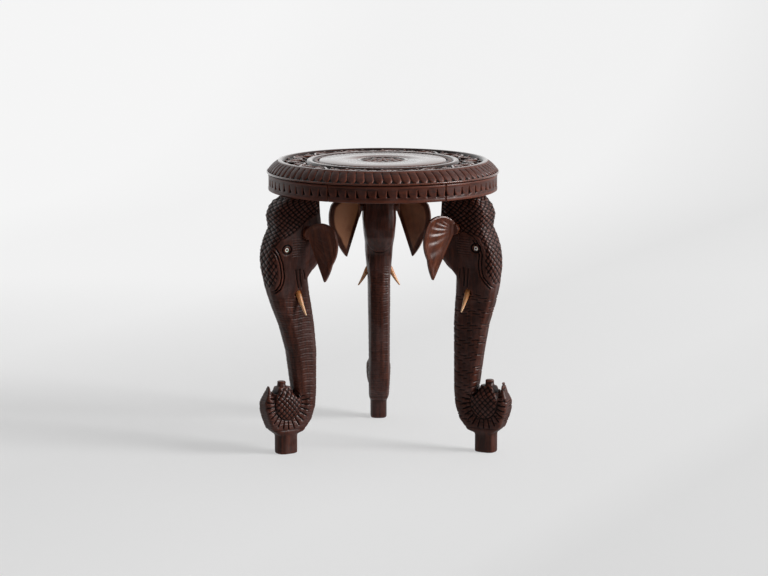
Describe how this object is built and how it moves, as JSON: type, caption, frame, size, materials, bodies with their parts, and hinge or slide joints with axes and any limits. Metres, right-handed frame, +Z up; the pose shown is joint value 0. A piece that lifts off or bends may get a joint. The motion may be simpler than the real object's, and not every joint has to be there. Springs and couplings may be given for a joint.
{
  "type": "carved stool",
  "caption": "Round low wooden stool: carved bevelled top, ring apron, and legs carved as elephant heads with trunks curled up round a fruit, separate ears, tusks and inlaid eyes.",
  "frame": {"origin": "on the floor, at the vertical axis of the turned top and the apron ring", "axes": "+Z up along that axis. The leg called back stands 2.3 degrees past +Y, and the left and right legs a third of a turn on either side of it, towards -Y, from where the picture was taken"},
  "size_m": [0.3551, 0.3653, 0.406],
  "materials": {
    "rosewood": "waxed, satin",
    "ear_wood": "waxed, satin",
    "bone": "polished bone, a little dulled",
    "black_horn": "polished"
  },
  "bodies": {
    "root": {"apron_segment_1": "rosewood", "apron_segment_2": "rosewood", "apron_segment_3": "rosewood", "apron_segment_4": "rosewood", "apron_segment_5": "rosewood", "apron_segment_6": "rosewood", "back_leg": "rosewood", "back_leg_left_ear": "ear_wood", "back_leg_left_eye_ring": "bone", "back_leg_left_pupil": "black_horn", "back_leg_left_tusk": "bone", "back_leg_right_ear": "ear_wood", "back_leg_right_eye_ring": "bone", "back_leg_right_pupil": "black_horn", "back_leg_right_tusk": "bone", "left_leg": "rosewood", "left_leg_left_ear": "ear_wood", "left_leg_left_eye_ring": "bone", "left_leg_left_pupil": "black_horn", "left_leg_left_tusk": "bone", "left_leg_right_ear": "ear_wood", "left_leg_right_eye_ring": "bone", "left_leg_right_pupil": "black_horn", "left_leg_right_tusk": "bone", "right_leg": "rosewood", "right_leg_left_ear": "ear_wood", "right_leg_left_eye_ring": "bone", "right_leg_left_pupil": "black_horn", "right_leg_left_tusk": "bone", "right_leg_right_ear": "ear_wood", "right_leg_right_eye_ring": "bone", "right_leg_right_pupil": "black_horn", "right_leg_right_tusk": "bone", "table_top": "rosewood"}
  },
  "joints": []
}
